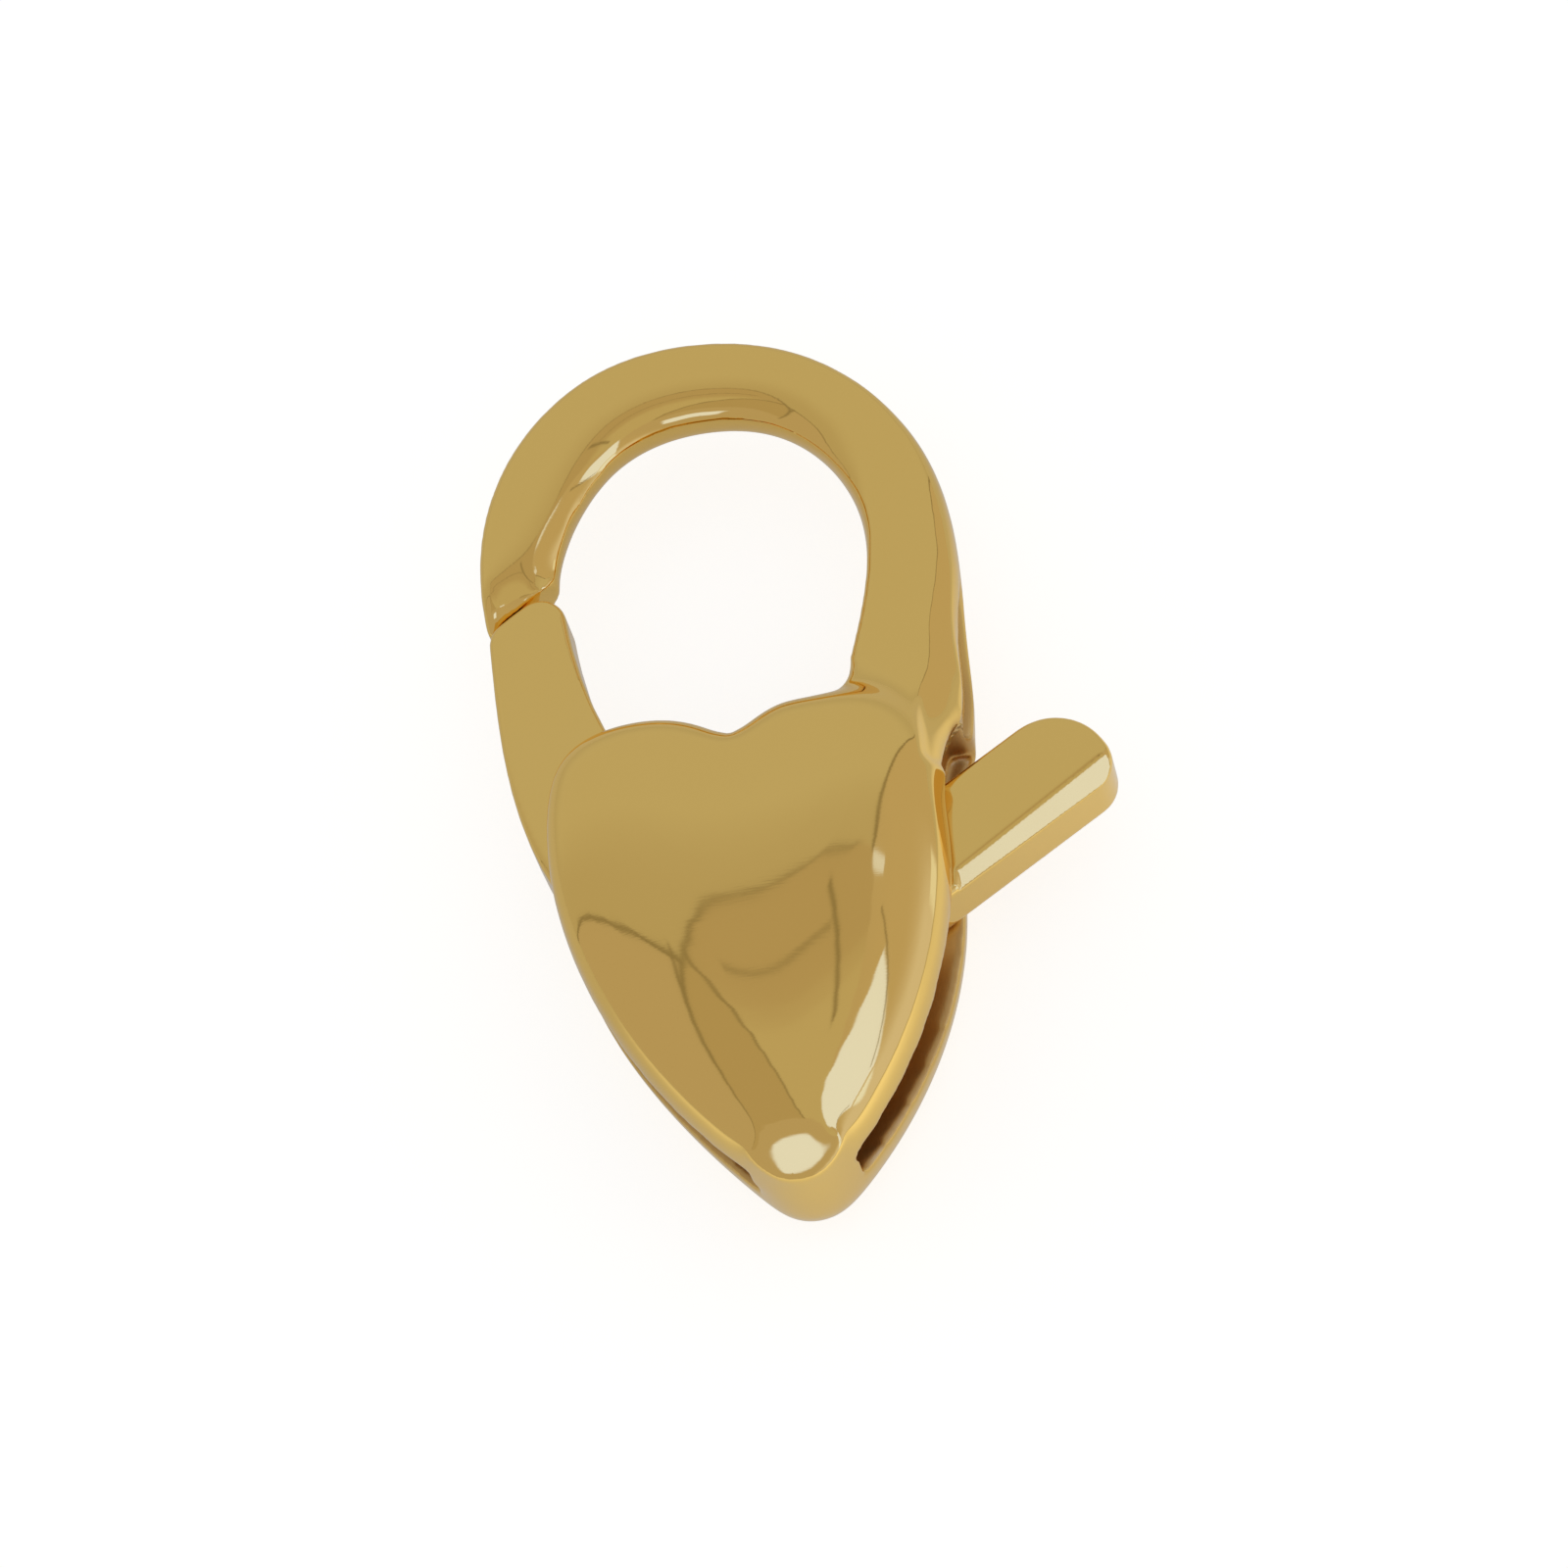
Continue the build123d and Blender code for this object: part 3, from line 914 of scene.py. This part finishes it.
    def foot_weights(self, spots):
        """Round the column's foot, where it runs into the right lobe."""
        front = step(spots[:, 2], *FOOT_FRONT_Z)
        middle = front * step(reach_from(spots, FOOT_MIDDLE, FOOT_RADII), *FOOT_FADE)
        left = step(spots[:, 2], *FOOT_LEFT_Z) * step(reach_from(spots, FOOT_LEFT), *FOOT_LEFT_FADE)
        right = front * step(reach_from(spots, FOOT_RIGHT), *FOOT_RIGHT_FADE)
        return np.maximum(np.maximum(middle, left), right)

    def crown_column(self, piece):
        """Rounds the column's front down towards its right side."""
        spots = spots_of(piece)
        along = step(spots[:, 1], *COLUMN_FADE_FOOT) * step(spots[:, 1], *COLUMN_FADE_TOP)
        ridge = COLUMN_RIDGE + COLUMN_RIDGE_LEAN * np.clip(spots[:, 1], 0.0, COLUMN_RIDGE_TOP)
        past = np.clip(spots[:, 0] - ridge, 0.0, None)
        fall = COLUMN_FALL * past * past / (past + COLUMN_FALL_ROUND)
        spots[:, 2] -= step(spots[:, 2], *COLUMN_FADE_Z) * along * fall
        move_to(piece, spots)

    def cut_groove(self, piece):
        """Carries the slot on as a fine groove up the column's right side, with a ledge."""
        spots = spots_of(piece)
        normals = normals_of(piece)
        height = np.abs(spots[:, 2] - SLOT_MIDDLE)
        along = step(spots[:, 1], *GROOVE_FOOT) * step(spots[:, 1], *GROOVE_TOP)
        along *= step(spots[:, 0], *GROOVE_LEFT)
        groove = along * step(height, *GROOVE_HEIGHT) * step(normals[:, 0], *GROOVE_FACING)
        ledge = along * step(normals[:, 0], *LEDGE_FACING) * step(spots[:, 2], *LEDGE_FADE_Z)
        spots[:, 0] -= GROOVE_DEPTH * groove + LEDGE_DEPTH * ledge
        move_to(piece, spots)

    def painted_slot_shade(self, spots, normals):
        """Painted shade inside the slot, on faces that look at each other across its middle plane.
        """
        right, up = spots[:, 0], spots[:, 1]
        height = spots[:, 2] - SLOT_MIDDLE
        inward = -np.sign(height) * normals[:, 2]
        near = step(np.abs(height), *SLOT_SHADE_HEIGHT)
        slot = near * step(inward, *SLOT_SHADE_FACING) * step(up, *SLOT_SHADE_TOP)
        web = near * step(normals[:, 1], *WEB_FACING) * step(np.abs(up - WEB_MIDDLE), *WEB_REACH)
        web *= step(right, *WEB_LEFT) * step(right, *WEB_RIGHT)
        groove = step(np.abs(height), *GROOVE_SHADE_HEIGHT) * step(up, *GROOVE_FOOT)
        groove *= step(up, *GROOVE_SHADE_TOP) * step(right, *GROOVE_SHADE_LEFT)
        groove *= step(normals[:, 0], *GROOVE_SHADE_FACING)
        return np.maximum(np.maximum(slot, web), groove)


class CLASP_OT_lever(bpy.types.Operator):
    """Lever with its gate and thumb tab, edges softened"""

    bl_idname = "clasp.lever"
    bl_label = "Lever"

    def execute(self, context):
        shape = context.scene.clasp_shape
        gold = context.scene.clasp_gold
        piece = copy_of_node("lever", "lever_plate")
        polish(piece, shape.lever_grid, shape.lever_passes)
        self.chamfer_thumb(piece, shape)
        soften(piece, shape.thumb_passes, self.thumb_weights)
        scale_mesh(piece, 1 / WORK_SCALE)
        material = gold_material(
            "polished_gold_plate", gold.colour, gold.warm, roughness=gold.polish * 1.2,
            wave=gold.wave * 0.8, hairline=gold.hairline * 1.5,
        )
        finish_piece(piece, "lever", "lever", material)
        return {"FINISHED"}

    def chamfer_thumb(self, piece, shape):
        """Takes the thumb tab's lower front edge down to a slanting face."""
        spots = spots_of(piece)
        lean = math.radians(THUMB_ANGLE)
        across = spots[:, 1] * math.cos(lean) - spots[:, 0] * math.sin(lean)
        outward = spots[:, 0] * math.cos(lean) + spots[:, 1] * math.sin(lean)
        tab = spots[:, 0] > THUMB_START
        inward = across - across[tab].min()
        fall = shape.chamfer_fall * (outward - outward[tab].min())
        slant = math.tan(shape.chamfer_angle)
        depth = np.clip(slant * (shape.chamfer_width - inward) + fall, 0.0, None)
        limit = spots[:, 2].max() - depth
        front = tab & (spots[:, 2] > THUMB_FRONT)
        spots[front, 2] = np.minimum(spots[front, 2], limit[front])
        move_to(piece, spots)

    def thumb_weights(self, spots):
        """The front edges of the thumb tab."""
        return step(spots[:, 0], *THUMB_FADE_X) * step(spots[:, 2], *THUMB_FADE_Z)


class CLASP_OT_pivot_pin(bpy.types.Operator):
    """Pin of the lever, filed flush and slightly broken at its rims"""

    bl_idname = "clasp.pivot_pin"
    bl_label = "Pivot Pin"

    def execute(self, context):
        gold = context.scene.clasp_gold
        low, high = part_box("pivot_pin")
        middle = (low + high) / 2
        radius = (high.x - low.x) / 2
        bpy.ops.object.select_all(action="DESELECT")
        bpy.ops.mesh.primitive_cylinder_add(
            vertices=64, radius=radius * WORK_SCALE, depth=(high.z - low.z) * WORK_SCALE,
            location=tuple(middle * WORK_SCALE),
        )
        piece = bpy.context.active_object
        piece.name = "pivot_pin_wire"
        piece.data.name = piece.name
        bpy.ops.object.transform_apply(location=True, rotation=True, scale=True)
        apply_modifier(
            piece, "BEVEL", width=0.05, segments=4, limit_method="ANGLE",
            angle_limit=math.radians(60),
        )
        scale_mesh(piece, 1 / WORK_SCALE)
        material = gold_material(
            "filed_gold_pin", gold.warm, gold.warm, roughness=0.16, wave=gold.wave,
            hairline=gold.hairline * 4.0, patch_scale=900.0,
        )
        finish_piece(piece, "pivot_pin", "clasp", material)
        bpy.ops.object.shade_smooth_by_angle(angle=math.radians(35))
        return {"FINISHED"}


class CLASP_OT_stage(bpy.types.Operator):
    """Pale floor, tent of soft light and camera"""

    bl_idname = "clasp.stage"
    bl_label = "Stage"

    def execute(self, context):
        stage = context.scene.clasp_stage
        self.floor(stage)
        self.tent(context, stage)
        self.camera(context, stage)
        return {"FINISHED"}

    def floor(self, stage):
        """Pale paper that glows a little, more so where the metal mirrors it near the piece."""
        bpy.ops.object.select_all(action="DESELECT")
        bpy.ops.mesh.primitive_plane_add(size=FLOOR_SIZE, location=(0, 0, 0))
        floor = bpy.context.active_object
        floor.name = "pale_floor"
        material = bpy.data.materials.new("pale_floor_paper")
        material.use_nodes = True
        tree = material.node_tree
        shader = tree.nodes["Principled BSDF"]
        shader.inputs["Base Color"].default_value = (*stage.floor_colour, 1.0)
        shader.inputs["Roughness"].default_value = FLOOR_ROUGHNESS
        shader.inputs["Emission Color"].default_value = (1.0, 1.0, 1.0, 1.0)
        seen = tree.nodes.new("ShaderNodeLightPath").outputs["Is Camera Ray"]
        place = tree.nodes.new("ShaderNodeTexCoord").outputs["Object"]
        across, along, _ = parts_of(tree, place)
        length = tree.nodes.new("ShaderNodeVectorMath")
        length.operation = "LENGTH"
        tree.links.new(place, length.inputs[0])
        # Painted light: pools of glow near the piece that the camera doesn't see
        near = smooth(tree, length.outputs["Value"], *POOL_NEAR)
        front = product(tree, smooth(tree, along, *POOL_FRONT_Y), POOL_FRONT)
        right = product(
            tree, smooth(tree, across, *POOL_RIGHT_X), smooth(tree, along, *POOL_RIGHT_Y),
            POOL_RIGHT,
        )
        pool = math_node(tree, "ADD", math_node(tree, "ADD", front, right), POOL_BASE)
        pool = product(tree, near, pool, math_node(tree, "SUBTRACT", 1.0, seen))
        bounce = math_node(tree, "ADD", pool, stage.floor_bounce)
        glow = product(tree, seen, stage.floor_glow)
        feed(tree, math_node(tree, "ADD", glow, bounce), shader.inputs["Emission Strength"])
        floor.data.materials.append(material)

    def tent(self, context, stage):
        """Plain light on the floor, the tent in the metal, and a plain backdrop."""
        world = bpy.data.worlds.new("light_tent")
        context.scene.world = world
        world.use_nodes = True
        tree = world.node_tree
        plain_light = tree.nodes["Background"]
        plain_light.inputs["Strength"].default_value = stage.sky
        plain_light.inputs["Color"].default_value = (*stage.high_tent, 1.0)
        mirrored = tree.nodes.new("ShaderNodeBackground")
        mirrored.inputs["Strength"].default_value = stage.sky
        tree.links.new(self.mirrored_tent(tree, stage), mirrored.inputs["Color"])
        backdrop = tree.nodes.new("ShaderNodeBackground")
        backdrop.inputs["Color"].default_value = (*stage.backdrop, 1.0)
        path = tree.nodes.new("ShaderNodeLightPath")
        shader = plain_light
        for seen, other in (("Is Glossy Ray", mirrored), ("Is Camera Ray", backdrop)):
            choice = tree.nodes.new("ShaderNodeMixShader")
            tree.links.new(path.outputs[seen], choice.inputs[0])
            tree.links.new(shader.outputs[0], choice.inputs[1])
            tree.links.new(other.outputs[0], choice.inputs[2])
            shader = choice
        tree.links.new(shader.outputs[0], tree.nodes["World Output"].inputs["Surface"])
        context.scene.view_settings.view_transform = "Standard"

    def mirrored_tent(self, tree, stage):
        """Colour of the tent in each direction, as polished metal shows it."""
        direction = tree.nodes.new("ShaderNodeTexCoord").outputs["Generated"]
        across, along, height = parts_of(tree, direction)
        warm, warm_seam = side(tree, direction, WARM_EDGE)
        near, near_seam = side(tree, direction, NEAR_EDGE)
        inside = inside_corners(tree, direction, SCREEN_CORNERS)
        screen = smooth(tree, inside, -SCREEN_SOFTNESS, SCREEN_SOFTNESS)
        clear = math_node(tree, "SUBTRACT", 1.0, screen)

        rise = smooth(tree, height, *HORIZON_FADE_Z)
        far_half = mixed(tree, rise, stage.horizon, stage.high_tent)
        far_half = mixed(tree, smooth(tree, along, *FAR_EDGE_FADE_Y), far_half, stage.far_edge)

        right = smooth(tree, across, *WARM_FADE_X)
        near_half = mixed(tree, right, stage.low_tent, stage.warm_tent)
        glow = product(
            tree, smooth(tree, height, *LOW_FADE_Z), right, smooth(tree, along, *LOW_FADE_Y)
        )
        near_half = mixed(tree, glow, near_half, stage.low_horizon)

        front = smooth(tree, along, *SCREEN_FRONT_FADE_Y)
        face = mixed(tree, front, stage.screen, stage.screen_front)
        wing, wing_seam = side(tree, direction, plane_through(*WING_EDGE))
        face = mixed(tree, wing, face, stage.wing)
        face = mixed(tree, product(tree, wing_seam, WING_SEAM), face, stage.seam)
        near_half = mixed(tree, screen, near_half, face)
        colour = mixed(tree, product(tree, warm, near, clear), near_half, far_half)

        wider = product(tree, smooth(tree, along, *OUTLINE_WIDER_Y), OUTLINE_WIDER)
        width = math_node(tree, "ADD", wider, OUTLINE_WIDTH)
        outline = product(
            tree, smooth(tree, math_node(tree, "ABSOLUTE", inside), width, OUTLINE_CORE),
            smooth(tree, along, *OUTLINE_FADE_Y), smooth(tree, across, *OUTLINE_FADE_X),
        )
        seams = math_node(
            tree, "MAXIMUM", product(tree, warm_seam, near), product(tree, near_seam, warm)
        )
        seams = math_node(tree, "MAXIMUM", product(tree, seams, clear), outline)
        colour = mixed(tree, seams, colour, stage.seam)

        group = panel_group()
        for *placing, tone in TENT_PANELS:
            mask = panel(tree, group, direction, *placing)
            colour = mixed(tree, mask, colour, tone or stage.seam)
        return colour

    def camera(self, context, stage):
        """The camera, above the floor and looking down at the piece's front."""
        data = bpy.data.cameras.new("camera")
        data.sensor_width = SENSOR_WIDTH
        data.lens = stage.lens
        data.clip_start = CLIP_START
        camera = bpy.data.objects.new("camera", data)
        context.scene.collection.objects.link(camera)
        turn = Matrix(CAMERA_AXES).transposed().to_4x4()
        camera.matrix_world = Matrix.Translation(Vector(stage.camera_place)) @ turn
        context.scene.camera = camera


class CLASP_PT_panel(bpy.types.Panel):
    """Lists the clasp's pieces and settings in the sidebar"""

    bl_label = "Heart Lobster Clasp"
    bl_idname = "CLASP_PT_panel"
    bl_space_type = "VIEW_3D"
    bl_region_type = "UI"
    bl_category = "Clasp"

    def draw(self, context):
        column = self.layout.column()
        for operator in PIECE_OPERATORS:
            column.operator(operator.bl_idname)
        for scene_name, group in SETTINGS:
            box = self.layout.box()
            for name in group.__annotations__:
                box.prop(getattr(context.scene, scene_name), name)


PIECE_OPERATORS = (CLASP_OT_cast_body, CLASP_OT_lever, CLASP_OT_pivot_pin, CLASP_OT_stage)
SETTINGS = (
    ("clasp_gold", ClaspGoldSettings),
    ("clasp_shape", ClaspShapeSettings),
    ("clasp_stage", ClaspStageSettings),
)


def register():
    for name, group in SETTINGS:
        bpy.utils.register_class(group)
        setattr(bpy.types.Scene, name, PointerProperty(type=group))
    for item in PIECE_OPERATORS + (CLASP_PT_panel,):
        bpy.utils.register_class(item)


def unregister():
    for item in reversed(PIECE_OPERATORS + (CLASP_PT_panel,)):
        bpy.utils.unregister_class(item)
    for name, group in reversed(SETTINGS):
        delattr(bpy.types.Scene, name)
        bpy.utils.unregister_class(group)


def main():
    register()
    bpy.ops.clasp.stage()
    bpy.ops.clasp.cast_body()
    bpy.ops.clasp.lever()
    bpy.ops.clasp.pivot_pin()


if __name__ == "__main__":
    main()
